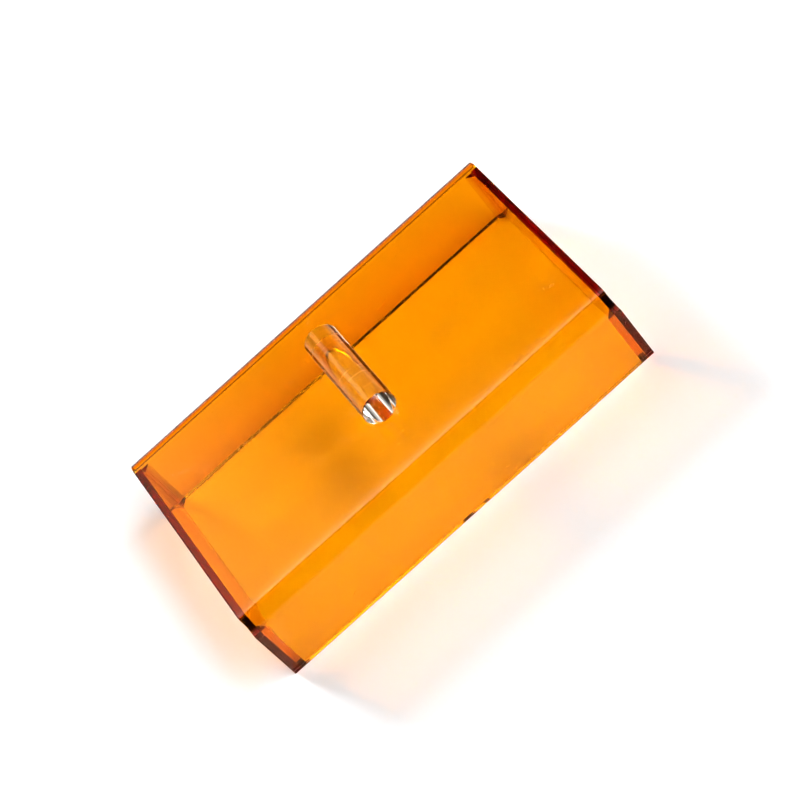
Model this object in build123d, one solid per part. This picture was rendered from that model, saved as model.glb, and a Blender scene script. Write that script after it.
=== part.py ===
from build123d import *
import math
import os

# Lid of a small resin wash tank: one orange acrylic sheet, line-bent twice into a shallow
# channel, closed by two end plates, with a clear rod cemented on top as its handle.
# Millimetres. The origin is the middle of the rim that the lid rests on, +Z is up,
# X runs along the long side and the front wall faces -Y.

# Driving dimensions
LENGTH = 190.0               # over the cut ends of the sheet, along X
DEPTH = 119.0                # over the front and rear walls, along Y
HEIGHT = 38.0                # rim to the outside of the top panel
SHEET = 3.0                  # thickness of the cover sheet and of the end plates
BEND_RADIUS = 8.5            # outside radius of both line bends
BEND_DRAW_IN = 0.5           # how far the stretched bends draw in at the cut ends
CORNER_STRIP_LEG = 3.0       # legs of the triangular strips in the upright corners
HANDLE_DIAMETER = 15.0
HANDLE_LENGTH = 52.0         # along Y, centred on the top panel
HANDLE_CHAMFER = 0.3         # deburred ends of the rod
CEMENT_WIDTH = 4.0           # cemented line under the rod
CEMENT_FILM = 0.15           # cement between the panel and the lowest line of the rod

# Derived dimensions
INSIDE_DEPTH = DEPTH - 2 * SHEET
INSIDE_HEIGHT = HEIGHT - SHEET
INSIDE_BEND = BEND_RADIUS - SHEET
END_PLATE_INNER_X = LENGTH / 2 - SHEET
FLAT_WALL_HEIGHT = HEIGHT - BEND_RADIUS
HANDLE_AXIS_Z = HEIGHT + CEMENT_FILM + HANDLE_DIAMETER / 2

SIDES = {"left": -1, "right": 1}
WALLS = {"front": -1, "rear": 1}


def arch(width, height, radius):
    """Upright face in the YZ plane: a box section on Z = 0 with both upper corners rounded."""
    half = width / 2
    over = FilletPolyline((-half, 0), (-half, height), (half, height), (half, 0), radius=radius)
    return Plane.YZ * make_face(over + Line((half, 0), (-half, 0)))


def bend_end_cutter(side, wall):
    """Wide cylinder across one end of a bend, which hollows the cut end by BEND_DRAW_IN."""
    half_chord = BEND_RADIUS * math.sin(math.radians(45))
    radius = (half_chord**2 + BEND_DRAW_IN**2) / (2 * BEND_DRAW_IN)
    middle_of_bend = (
        side * (LENGTH / 2 - BEND_DRAW_IN + radius),
        wall * (DEPTH / 2 - BEND_RADIUS),
        HEIGHT - BEND_RADIUS,
    )
    across_sheet = (0, wall, 1)
    return Plane(origin=middle_of_bend, z_dir=across_sheet) * Cylinder(radius, 4 * BEND_RADIUS)


def make_cover_sheet():
    """Front wall, top panel and rear wall in one sheet, with a line bend along each long edge."""
    section = arch(DEPTH, HEIGHT, BEND_RADIUS) - arch(INSIDE_DEPTH, INSIDE_HEIGHT, INSIDE_BEND)
    sheet = extrude(section, amount=LENGTH / 2, both=True)
    for side in SIDES.values():
        for wall in WALLS.values():
            sheet -= bend_end_cutter(side, wall)
    return sheet


def make_end_plate(side):
    """Flat plate inside one end of the sheet, its upper corners cut off to clear the bends."""
    half = INSIDE_DEPTH / 2
    outline = Polyline(
        (-half, 0),
        (-half, INSIDE_HEIGHT - INSIDE_BEND),
        (-half + INSIDE_BEND, INSIDE_HEIGHT),
        (half - INSIDE_BEND, INSIDE_HEIGHT),
        (half, INSIDE_HEIGHT - INSIDE_BEND),
        (half, 0),
        close=True,
    )
    plate = extrude(Plane.YZ * make_face(outline), amount=SHEET)
    start_x = END_PLATE_INNER_X if side > 0 else -LENGTH / 2
    return Pos(start_x, 0, 0) * plate


def make_corner_strip(side, wall):
    """Triangular strip in one upright corner, from the rim to where the wall starts to bend."""
    corner = (side * END_PLATE_INNER_X, wall * INSIDE_DEPTH / 2)
    along_wall = (corner[0] - side * CORNER_STRIP_LEG, corner[1])
    along_plate = (corner[0], corner[1] - wall * CORNER_STRIP_LEG)
    section = make_face(Polyline(corner, along_wall, along_plate, close=True))
    return extrude(section, amount=FLAT_WALL_HEIGHT, dir=(0, 0, 1))


def make_handle_rod():
    """Solid rod lying front to back along the middle of the top panel."""
    rod = Cylinder(HANDLE_DIAMETER / 2, HANDLE_LENGTH)
    rod = chamfer(rod.edges().filter_by(GeomType.CIRCLE), HANDLE_CHAMFER)
    return Pos(0, 0, HANDLE_AXIS_Z) * Rot(90, 0, 0) * rod


def make_handle_cement():
    """Cement that fills the narrow gap on both sides of the rod's lowest line."""
    depth = CEMENT_FILM + HANDLE_DIAMETER / 4
    length = HANDLE_LENGTH - 2 * HANDLE_CHAMFER
    block = Pos(0, 0, HEIGHT + depth / 2) * Box(CEMENT_WIDTH, length, depth)
    rod = Pos(0, 0, HANDLE_AXIS_Z) * Rot(90, 0, 0) * Cylinder(HANDLE_DIAMETER / 2, 2 * length)
    return block - rod


nodes = {
    "cover_sheet": make_cover_sheet(),
    "handle_rod": make_handle_rod(),
    "handle_cement": make_handle_cement(),
}
for side_name, side in SIDES.items():
    nodes[f"{side_name}_end_plate"] = make_end_plate(side)
    for wall_name, wall in WALLS.items():
        nodes[f"{wall_name}_{side_name}_corner_strip"] = make_corner_strip(side, wall)

os.makedirs("parts", exist_ok=True)
for name, shape in nodes.items():
    export_step(shape, f"parts/{name}.step")
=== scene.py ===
import math

import bpy
import numpy as np
from mathutils import Matrix, Vector


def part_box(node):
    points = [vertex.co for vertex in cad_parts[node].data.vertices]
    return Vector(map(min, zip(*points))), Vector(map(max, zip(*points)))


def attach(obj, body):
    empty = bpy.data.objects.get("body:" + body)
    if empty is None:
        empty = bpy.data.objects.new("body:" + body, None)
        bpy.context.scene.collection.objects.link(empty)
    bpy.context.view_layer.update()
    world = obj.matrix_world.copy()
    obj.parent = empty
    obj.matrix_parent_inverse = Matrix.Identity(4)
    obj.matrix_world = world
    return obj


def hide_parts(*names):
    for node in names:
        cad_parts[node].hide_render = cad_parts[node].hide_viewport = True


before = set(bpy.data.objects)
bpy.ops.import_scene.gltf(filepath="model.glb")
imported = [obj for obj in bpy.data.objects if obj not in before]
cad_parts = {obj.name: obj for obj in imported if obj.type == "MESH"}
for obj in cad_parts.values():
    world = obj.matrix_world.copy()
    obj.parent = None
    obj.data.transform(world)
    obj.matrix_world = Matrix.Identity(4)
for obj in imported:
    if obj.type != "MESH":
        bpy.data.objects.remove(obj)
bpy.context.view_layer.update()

MM = 0.001


# ---------------------------------------------------------------- sizes, from the frame

def size_of(node):
    """Lowest corner, highest corner and extent of a CAD node, as arrays in metres."""
    low, high = (np.array(corner[:]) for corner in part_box(node))
    return low, high, high - low


LENGTH, DEPTH, HEIGHT = size_of("cover_sheet")[2]
THICKNESS = size_of("right_end_plate")[2][0]
STRIP_LEG, _, STRIP_HEIGHT = size_of("front_right_corner_strip")[2]
BEND_RADIUS = HEIGHT - STRIP_HEIGHT
ROD_TOP = size_of("handle_rod")[1][2]
ROD_DIAMETER, ROD_LENGTH, _ = size_of("handle_rod")[2]
ROD_RADIUS = ROD_DIAMETER / 2
ROD_AXIS_HEIGHT = ROD_TOP - ROD_RADIUS
CEMENT_LOW, _, CEMENT_SIZE = size_of("handle_cement")

BEND_DRAW_IN = 0.5 * MM        # how far the stretched bends draw in at the cut ends
DRAW_IN_FADE = 12              # power by which the drawing in dies away towards the middle
BOND_OVERLAP = 0.02 * MM       # bonded faces share this much, so no air lies between them
EDGE_BREAK = 0.15 * MM         # scraped edges of the cut sheet
STRIP_EDGE_BREAK = 0.08 * MM
END_EDGE_MARK = 0.2            # laser marks on the smoother end edges, beside 1 on the lower edges
FACING = 0.9                   # a face looks along an axis when this much of its normal does
ROD_CHAMFER = 0.3 * MM
FACED_DEPTH = 0.05 * MM        # of the rod's ends, counted as their faced surface
RING_PITCH = 0.25              # of the facing marks on the rod's ends, in millimetres
ACRYLIC_IOR = 1.49
CLEAN = (1.0, 1.0, 1.0)        # surface colour of clean acrylic, whose tint lies in its body
TABLE_GAP = 0.1 * MM
TABLE_REACH = 3.0

SHEET_STEP = 4 * MM            # between the points along the flat parts of the cover
BEND_POINTS = 25
SHEET_STATIONS = 25            # along the length of the cover
ROD_STATIONS = 9
ROD_TURN_STEP = 2.5            # degrees between the points round the rod
CEMENT_POINTS = 17


# ---------------------------------------------------------------- meshes

def mesh_piece(name, points, faces, smooth_angle=30):
    """Makes a mesh object from an array of points and a list of faces, smooth below an angle."""
    mesh = bpy.data.meshes.new(name)
    mesh.from_pydata(np.asarray(points, float).tolist(), [], faces)
    mesh.validate()
    mesh.update()
    mesh.shade_smooth()
    mesh.set_sharp_from_angle(angle=math.radians(smooth_angle))
    piece = bpy.data.objects.new(name, mesh)
    bpy.context.scene.collection.objects.link(piece)
    return piece


def grid_faces(rows, columns, wrap_rows=False):
    """Quads over a grid of points numbered row by row, the last row joined to the first on request."""
    last = rows if wrap_rows else rows - 1
    r, c = np.meshgrid(np.arange(last), np.arange(columns - 1), indexing="ij")
    here, below = r * columns + c, (r + 1) % rows * columns + c
    return np.stack([here, here + 1, below + 1, below], -1).reshape(-1, 4).tolist()


def break_edges(piece, width=EDGE_BREAK):
    """Takes the sharpness off every edge with a narrow rounded bevel."""
    bevel = piece.modifiers.new("scraped edges", "BEVEL")
    bevel.width = width
    bevel.segments = 2
    bevel.limit_method = "ANGLE"
    bevel.angle_limit = math.radians(40)
    bevel.harden_normals = True


def mark_cut_edges(piece, ends=False):
    """Marks laser-cut faces: 1 on the lowest ones, and on request END_EDGE_MARK on both end edges."""
    mesh = piece.data
    normals, centres = (np.zeros(len(mesh.polygons) * 3) for _ in range(2))
    mesh.polygons.foreach_get("normal", normals)
    mesh.polygons.foreach_get("center", centres)
    cut = ((normals[2::3] < -FACING) & (centres[2::3] < EDGE_BREAK)).astype(float)
    if ends:
        cut[np.abs(normals[0::3]) > FACING] = END_EDGE_MARK
    mesh.attributes.new("cut_edge", "FLOAT", "FACE").data.foreach_set("value", cut)


def finish_piece(piece, node, material):
    """Gives a piece its material, hangs it under the root body and hides the CAD node it stands for."""
    piece.data.materials.append(material)
    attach(piece, "root")
    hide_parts(node)


def quarter_circle(centre, radius, start, end):
    """Points centre + radius * (cos a, sin a), with a going evenly from start to end in degrees."""
    turn = np.radians(np.linspace(start, end, BEND_POINTS))
    return np.array(centre) + radius * np.stack([np.cos(turn), np.sin(turn)], -1)


def bent_line(width, height, radius, step):
    """Points along an upside-down U in the YZ plane.

    The line goes up the front wall, round a quarter circle, over the top, round another quarter
    circle and down the rear wall. The straight runs get evenly spaced points.
    """
    half, flat = width / 2, height - radius
    up = np.linspace(0, flat, max(2, int(flat / step)), endpoint=False)
    over = np.linspace(-half + radius, half - radius, int((width - 2 * radius) / step) + 1)[1:-1]
    front = np.stack([np.full_like(up, -half), up], -1)
    round_front = quarter_circle([-half + radius, flat], radius, 180, 90)
    top = np.stack([over, np.full_like(over, height)], -1)
    round_rear = quarter_circle([half - radius, flat], radius, 90, 0)
    rear = front[::-1] * [-1, 1]
    return np.concatenate([front, round_front, top, round_rear, rear])


def cover_sheet():
    """One sheet bent twice: the U line is offset inwards by the thickness and swept along X.

    Both faces use the same stations, so outer and inner points pair up across the thickness.
    At the bends the swept length shrinks by BEND_DRAW_IN * sin(2 a)**2, a being the bend angle,
    times the DRAW_IN_FADE power of how far out towards its end the station is.
    """
    outer = bent_line(DEPTH, HEIGHT, BEND_RADIUS, SHEET_STEP)
    shrink = 1 - THICKNESS / BEND_RADIUS
    centre_y = DEPTH / 2 - BEND_RADIUS
    core_y = np.clip(outer[:, 0], -centre_y, centre_y)
    core_z = np.minimum(outer[:, 1], HEIGHT - BEND_RADIUS)
    core = np.stack([core_y, core_z], -1)
    outwards = outer - core
    inner = core + outwards * shrink
    bend = np.abs(outwards[:, 0] * outwards[:, 1]) * 2 / BEND_RADIUS**2
    draw = BEND_DRAW_IN * bend**2
    ring = np.concatenate([outer, inner[::-1]])
    ring_draw = np.concatenate([draw, draw[::-1]])
    stations = np.linspace(-1, 1, SHEET_STATIONS)
    fade_out = np.abs(stations[None, :]) ** DRAW_IN_FADE
    x = stations[None, :] * (LENGTH / 2 - ring_draw[:, None] * fade_out)
    y = np.repeat(ring[:, :1], SHEET_STATIONS, 1)
    z = np.repeat(ring[:, 1:], SHEET_STATIONS, 1)
    faces = grid_faces(len(ring), SHEET_STATIONS, wrap_rows=True)
    here = np.arange(len(outer) - 1)
    across = np.stack([here, here + 1, len(ring) - 2 - here, len(ring) - 1 - here], -1) * SHEET_STATIONS
    faces += across.tolist()
    faces += (across[:, [0, 3, 2, 1]] + SHEET_STATIONS - 1).tolist()
    points = np.stack([x, y, z], -1).reshape(-1, 3)
    return mesh_piece("clear_bent_cover", points, faces, smooth_angle=20)


def prism(name, outline, start, length, axes):
    """A flat outline carried straight along one axis, with a face over each end.

    outline is an anticlockwise array of 2-D points, axes gives the world axes of the outline's
    first and second coordinate and of the straight run, which begins at start.
    """
    outline = np.asarray(outline, float)
    points = np.zeros((2, len(outline), 3))
    points[:, :, axes[0]] = outline[:, 0]
    points[:, :, axes[1]] = outline[:, 1]
    points[:, :, axes[2]] = [[start], [start + length]]
    here = np.arange(len(outline))
    after = np.roll(here, -1)
    sides = np.stack([here, after, len(outline) + after, len(outline) + here], -1)
    faces = [*sides.tolist(), here[::-1].tolist(), (here + len(outline)).tolist()]
    turned = np.cross(np.eye(3)[axes[0]], np.eye(3)[axes[1]])[axes[2]] < 0
    if turned:
        faces = [face[::-1] for face in faces]
    return mesh_piece(name, points.reshape(-1, 3), faces)


def end_plate(side):
    """Flat plate inside the cover, whose upper corners are cut off at 45 degrees where it bends."""
    half = DEPTH / 2 - THICKNESS + BOND_OVERLAP
    top = HEIGHT - THICKNESS + BOND_OVERLAP
    cut = BEND_RADIUS - THICKNESS + BOND_OVERLAP
    right_side = [(half, 0), (half, top - cut), (half - cut, top)]
    left_side = [(-half + cut, top), (-half, top - cut)]
    outline = [(-half, 0), *right_side, *left_side]
    start = LENGTH / 2 - THICKNESS if side > 0 else -LENGTH / 2
    return prism("right_end" if side > 0 else "left_end", outline, start, THICKNESS, (1, 2, 0))


def corner_strip(side, wall, name):
    """Triangular strip that fills an upright inside corner: side is -1 or 1 in X, wall in Y."""
    x = side * (LENGTH / 2 - THICKNESS + BOND_OVERLAP)
    y = wall * (DEPTH / 2 - THICKNESS + BOND_OVERLAP)
    leg = STRIP_LEG + BOND_OVERLAP
    outline = [(x, y), (x, y - wall * leg), (x - side * leg, y)]
    if side * wall > 0:
        outline = [outline[0], outline[2], outline[1]]
    return prism(name, outline, 0.0, STRIP_HEIGHT, (0, 1, 2))


def handle_rod():
    """Round bar along Y: its radius over its length is turned about the axis.

    The radius is constant but for a 45 degree chamfer at both ends, and each end is closed by
    rings that shrink to a middle face.
    """
    half = ROD_LENGTH / 2
    rim = ROD_RADIUS - ROD_CHAMFER
    run = np.linspace(-half + ROD_CHAMFER, half - ROD_CHAMFER, ROD_STATIONS)
    y = np.concatenate([[-half, -half], run, [half, half]])
    r = np.concatenate([[rim / 8, rim], np.full(len(run), ROD_RADIUS), [rim, rim / 8]])
    turn = np.radians(np.arange(0, 360, ROD_TURN_STEP))
    x = r[None, :] * np.cos(turn)[:, None]
    z = ROD_AXIS_HEIGHT + r[None, :] * np.sin(turn)[:, None]
    points = np.stack([x, np.repeat(y[None, :], len(turn), 0), z], -1)
    faces = grid_faces(len(turn), len(y), wrap_rows=True)
    first = np.arange(len(turn)) * len(y)
    faces += [first.tolist(), (first + len(y) - 1)[::-1].tolist()]
    return mesh_piece("rod_handle", points.reshape(-1, 3), faces)


def handle_cement():
    """Cement line under the rod: flat below, hollowed above to the rod's own curve.

    The hollow's height is the axis height less the root of radius**2 - x**2.
    """
    half = CEMENT_SIZE[0] / 2
    x = np.linspace(half, -half, CEMENT_POINTS)
    hollow = ROD_AXIS_HEIGHT - np.sqrt((ROD_RADIUS - BOND_OVERLAP) ** 2 - x**2)
    low = CEMENT_LOW[2] - BOND_OVERLAP
    outline = np.concatenate([[(-half, low), (half, low)], np.stack([x, hollow], -1)])
    return prism("rod_cement", outline, CEMENT_LOW[1], CEMENT_SIZE[1], (0, 2, 1))


# ---------------------------------------------------------------- materials

class Wire:
    """One shader value. Arithmetic on wires adds the Math nodes that work it out."""

    def __init__(self, tree, socket):
        self.tree = tree
        self.socket = socket

    def maths(self, operation, *values):
        return node(self.tree, "ShaderNodeMath", {"operation": operation}, dict(enumerate(values)))

    def __add__(self, other):
        return self.maths("ADD", self, other)

    def __sub__(self, other):
        return self.maths("SUBTRACT", self, other)

    def __rsub__(self, other):
        return self.maths("SUBTRACT", other, self)

    def __mul__(self, other):
        return self.maths("MULTIPLY", self, other)

    def __gt__(self, other):
        return self.maths("GREATER_THAN", self, other)

    def __abs__(self):
        return self.maths("ABSOLUTE", self)

    def sine(self):
        return self.maths("SINE", self)

    __radd__ = __add__
    __rmul__ = __mul__


def node(tree, kind, settings=None, inputs=None, output=0):
    """Adds a shader node: its settings first, then the values or wires of its sockets."""
    made = tree.nodes.new(kind)
    for name, value in (settings or {}).items():
        setattr(made, name, value)
    for name, value in (inputs or {}).items():
        if isinstance(value, Wire):
            tree.links.new(value.socket, made.inputs[name])
        else:
            made.inputs[name].default_value = value
    return Wire(tree, made.outputs[output]) if len(made.outputs) else None


def new_tree(name):
    """An empty material and its node tree."""
    material = bpy.data.materials.new(name)
    material.use_nodes = True
    material.node_tree.nodes.clear()
    return material, material.node_tree


def place_in_mm(tree):
    """Where a point of the piece is, in millimetres, from its own object coordinates."""
    place = node(tree, "ShaderNodeTexCoord", output="Object")
    return node(tree, "ShaderNodeVectorMath", {"operation": "SCALE"}, {0: place, "Scale": 1 / MM})


def noise(tree, place, size, detail=2.0, stretch=(1, 1, 1), turn=(0, 0, 0)):
    """Cloudy pattern around 0.5 in patches of about size millimetres, longer where stretch is larger."""
    scale = [1 / (size * s) for s in stretch]
    laid = node(tree, "ShaderNodeMapping", inputs={"Vector": place, "Rotation": turn})
    laid = node(tree, "ShaderNodeVectorMath", {"operation": "MULTIPLY"}, {0: laid, 1: scale})
    return node(tree, "ShaderNodeTexNoise", inputs={"Vector": laid, "Scale": 1.0, "Detail": detail})


def fade(tree, value, full, none):
    """1 where value is at full, 0 where it is at none, straight in between."""
    span = {"Value": value, "From Min": full, "From Max": none, "To Min": 1.0, "To Max": 0.0}
    return node(tree, "ShaderNodeMapRange", {"clamp": True}, span)


def hairlines(tree, place, heading, width):
    """Fine wiping scratches: the line where a long drawn-out noise crosses 0.5, kept in a few patches."""
    turn = (0, 0, math.radians(heading))
    drawn = noise(tree, place, size=7, detail=1.0, stretch=(9, 1, 1), turn=turn)
    line = fade(tree, abs(drawn - 0.5), full=0.0, none=width)
    patches = noise(tree, place, size=21, detail=1.0) > 0.53
    return line * patches


def specks(tree, place, spacing, radius, share):
    """Round specks of dust or air: a spot at the middle of some of the cells of a scattered pattern."""
    cell = {"Vector": place, "Scale": 1 / spacing}
    away = node(tree, "ShaderNodeTexVoronoi", inputs=cell) * spacing
    pick = node(tree, "ShaderNodeTexVoronoi", inputs=cell, output="Color")
    pick = node(tree, "ShaderNodeSeparateXYZ", inputs={"Vector": pick})
    return fade(tree, away, full=radius * 0.6, none=radius) * (pick > 1 - share)


def finish_material(tree, shader_inputs, height, depth, body=None):
    """Joins a Principled shader, a bump whose full height is depth millimetres, and a see-through body."""
    relief = {"Height": height, "Strength": 1.0, "Distance": depth * MM}
    bump = node(tree, "ShaderNodeBump", inputs=relief)
    surface = node(tree, "ShaderNodeBsdfPrincipled", inputs={**shader_inputs, "Normal": bump})
    ends = {"Surface": surface}
    if body:
        ends["Volume"] = body
    node(tree, "ShaderNodeOutputMaterial", inputs=ends)


def see_through(tree, per_mm):
    """Body that dims red, green and blue light by e to the power of -per_mm for each millimetre.

    The node's own power is density * (1 - colour) per metre, so the colour most dimmed has shade 0.
    """
    strongest = max(per_mm)
    shade = [1 - a / strongest for a in per_mm]
    body = {"Color": (*shade, 1), "Density": strongest / MM}
    return node(tree, "ShaderNodeVolumeAbsorption", inputs=body)


def marked_colour(tree, marks, clean, marked):
    """The clean colour, going over to the marked one where marks is 1."""
    inputs = {"Factor": marks, "A": (*clean, 1), "B": (*marked, 1)}
    return node(tree, "ShaderNodeMix", {"data_type": "RGBA"}, inputs, output="Result")


def cast_sheet(name, per_mm):
    """Orange cast sheet: polished, a little wavy, with scratches, dust and laser lines on cut edges."""
    material, tree = new_tree(name)
    place = place_in_mm(tree)
    waves = noise(tree, place, size=26, detail=1.0)
    wiped = hairlines(tree, place, heading=24, width=0.012)
    wiped_across = hairlines(tree, place, heading=-52, width=0.009)
    scratches = wiped + wiped_across
    dust = specks(tree, place, spacing=15, radius=0.3, share=0.4)
    cut = node(tree, "ShaderNodeAttribute", {"attribute_name": "cut_edge"}, output="Fac")
    laser = noise(tree, place, size=0.35, detail=1.0) * cut
    roughness = 0.22 * scratches + 0.4 * dust + 0.06 * cut
    height = waves + 0.15 * laser - 0.05 * scratches + 0.1 * dust
    colour = marked_colour(tree, dust, clean=CLEAN, marked=(0.45, 0.25, 0.15))
    shader = {"Base Color": colour, "Roughness": roughness, "IOR": ACRYLIC_IOR, "Transmission Weight": 1.0}
    shader["Specular IOR Level"] = 0.3
    finish_material(tree, shader, height, depth=0.012, body=see_through(tree, per_mm))
    return material


def clear_bar(name, per_mm):
    """Clear extruded bar: faint lines drawn along it, and rings left by facing its two ends."""
    material, tree = new_tree(name)
    place = place_in_mm(tree)
    drawn = noise(tree, place, size=0.9, detail=1.0, stretch=(1, 60, 1))
    from_middle = {0: place, 1: (1, 0, 1), 2: (0, 0, -ROD_AXIS_HEIGHT / MM)}
    centred = node(tree, "ShaderNodeVectorMath", {"operation": "MULTIPLY_ADD"}, from_middle)
    from_axis = node(tree, "ShaderNodeVectorMath", {"operation": "LENGTH"}, {0: centred}, output="Value")
    along = node(tree, "ShaderNodeSeparateXYZ", inputs={"Vector": place}, output="Y")
    facing = abs(along) > (ROD_LENGTH / 2 - FACED_DEPTH) / MM
    rings = (from_axis * (2 * math.pi / RING_PITCH)).sine()
    scratches = hairlines(tree, place, heading=70, width=0.006)
    dust = specks(tree, place, spacing=7, radius=0.14, share=0.35)
    roughness = 0.2 * scratches + 0.35 * dust
    height = 0.35 * drawn * (1 - facing) + 0.02 * rings * facing + 0.1 * dust
    colour = marked_colour(tree, dust, clean=CLEAN, marked=(0.8, 0.78, 0.74))
    shader = {"Base Color": colour, "Roughness": roughness, "IOR": ACRYLIC_IOR, "Transmission Weight": 1.0}
    finish_material(tree, shader, height, depth=0.004, body=see_through(tree, per_mm))
    return material


def set_cement(name, per_mm):
    """Set acrylic cement: clear, slightly uneven, with small trapped air bubbles."""
    material, tree = new_tree(name)
    place = place_in_mm(tree)
    bubbles = specks(tree, place, spacing=1.6, radius=0.35, share=0.5)
    flow = noise(tree, place, size=2.5)
    roughness = 0.03 + 0.1 * flow + 0.3 * bubbles
    height = flow + 0.5 * bubbles
    colour = marked_colour(tree, bubbles, clean=CLEAN, marked=(0.85, 0.82, 0.78))
    shader = {"Base Color": colour, "Roughness": roughness, "IOR": ACRYLIC_IOR, "Transmission Weight": 1.0}
    finish_material(tree, shader, height, depth=0.02, body=see_through(tree, per_mm))
    return material


def table_top():
    """Matt white table top with a fine painted grain."""
    material, tree = new_tree("table_top")
    place = place_in_mm(tree)
    grain = noise(tree, place, size=0.5, detail=3.0)
    clouds = noise(tree, place, size=90)
    colour = marked_colour(tree, clouds, clean=(0.88, 0.88, 0.885), marked=(0.865, 0.865, 0.87))
    shader = {"Base Color": colour, "Roughness": 0.55 + 0.12 * grain, "Specular IOR Level": 0.3}
    finish_material(tree, shader, grain, depth=0.01)
    return material


# ---------------------------------------------------------------- the lid

orange = cast_sheet("orange_cast_acrylic", (0.015, 0.155, 1.3))
clear = clear_bar("clear_bar_acrylic", (0.001, 0.001, 0.002))
cement_clear = set_cement("set_cement", (0.002, 0.002, 0.004))

cover = cover_sheet()
mark_cut_edges(cover, ends=True)
break_edges(cover)
finish_piece(cover, "cover_sheet", orange)

for side, side_name in ((-1, "left"), (1, "right")):
    plate = end_plate(side)
    mark_cut_edges(plate)
    break_edges(plate)
    finish_piece(plate, f"{side_name}_end_plate", orange)
    for wall, wall_name in ((-1, "front"), (1, "rear")):
        label = f"{wall_name}_{side_name}_corner_strip"
        strip = corner_strip(side, wall, label + "_clear")
        mark_cut_edges(strip)
        break_edges(strip, STRIP_EDGE_BREAK)
        finish_piece(strip, label, orange)

rod = handle_rod()
finish_piece(rod, "handle_rod", clear)
cement = handle_cement()
finish_piece(cement, "handle_cement", cement_clear)


# ---------------------------------------------------------------- table, light and camera

def table():
    """A square table top around the lid, just clear of its lower edges."""
    corners = np.array([(-1, -1, 0), (1, -1, 0), (1, 1, 0), (-1, 1, 0)]) * TABLE_REACH
    piece = mesh_piece("table", corners - [0, 0, TABLE_GAP], [(0, 1, 2, 3)])
    piece.data.materials.append(table_top())


def direction(azimuth, elevation):
    """Unit vector from the lid towards a bearing, in degrees: 0 is behind it, 90 to its right."""
    a, e = math.radians(azimuth), math.radians(elevation)
    return np.array([math.sin(a) * math.cos(e), math.cos(a) * math.cos(e), math.sin(e)])


def studio_walls(base, horizon, horizon_top, glows):
    """Dim white walls with a bright band low down and soft glows.

    base is the brightness all round, horizon that of the band, which ends about horizon_top
    degrees up, and each glow is its direction, its reach in degrees and its strength.
    """
    world = bpy.data.worlds.new("studio")
    bpy.context.scene.world = world
    world.use_nodes = True
    tree = world.node_tree
    tree.nodes.clear()
    bearing = node(tree, "ShaderNodeTexCoord", output="Generated")
    rise = node(tree, "ShaderNodeSeparateXYZ", inputs={"Vector": bearing}, output="Z")
    top = math.sin(math.radians(horizon_top))
    brightness = base + horizon * fade(tree, rise, full=0.6 * top, none=1.4 * top)
    for towards, reach, strength in glows:
        sides = {0: bearing, 1: tuple(towards)}
        facing = node(tree, "ShaderNodeVectorMath", {"operation": "DOT_PRODUCT"}, sides, output="Value")
        edge = math.cos(math.radians(reach))
        span = {"Value": facing, "From Min": edge, "From Max": 1.0, "To Min": 0.0, "To Max": strength}
        brightness += node(tree, "ShaderNodeMapRange", {"interpolation_type": "SMOOTHERSTEP"}, span)
    background = node(tree, "ShaderNodeBackground", inputs={"Color": (1, 1, 1, 1), "Strength": brightness})
    node(tree, "ShaderNodeOutputWorld", inputs={"Surface": background})


def softbox(name, bearing, distance, size, power):
    """A square area light on a bearing from the lid, turned towards it."""
    lamp = bpy.data.lights.new(name, "AREA")
    lamp.shape = "SQUARE"
    lamp.size = size
    lamp.energy = power
    light = bpy.data.objects.new(name, lamp)
    bpy.context.scene.collection.objects.link(light)
    light.location = bearing * distance
    light.rotation_euler = Vector(-bearing).to_track_quat("-Z", "Y").to_euler()


GLOWS = [(direction(-24, 44), 17, 1.3), (direction(-3, 57), 13, 2.4)]

table()
studio_walls(base=0.04, horizon=0.42, horizon_top=15, glows=GLOWS)
softbox("key_softbox", direction(107, 56), distance=3.6, size=1.2, power=40)
softbox("front_softbox", direction(144, 42), distance=3.6, size=1.9, power=58)
softbox("rear_softbox", direction(-20, 28), distance=2.4, size=0.54, power=30)

CAMERA_PLACE = (0.0234, -0.7726, 0.7820)
AZIMUTH, ELEVATION, ROLL = (math.radians(a) for a in (1.18, 44.76, -42.76))
camera_data = bpy.data.cameras.new("camera")
camera = bpy.data.objects.new("camera", camera_data)
bpy.context.scene.collection.objects.link(camera)
turn = Matrix.Rotation(AZIMUTH, 4, "Z") @ Matrix.Rotation(math.pi / 2 - ELEVATION, 4, "X")
camera.matrix_world = Matrix.Translation(CAMERA_PLACE) @ turn @ Matrix.Rotation(ROLL, 4, "Z")
camera_data.sensor_width = 36.0
camera_data.lens = 120.6
bpy.context.scene.camera = camera
bpy.context.scene.view_settings.view_transform = "Standard"
bpy.context.scene.view_settings.look = "High Contrast"

# Light that passes several tinted walls needs long paths, without filter or clamp.
light_paths = bpy.context.scene.cycles
light_paths.blur_glossy = 0.0
light_paths.sample_clamp_indirect = 0.0
light_paths.max_bounces = 24
light_paths.glossy_bounces = 16
light_paths.transmission_bounces = 20
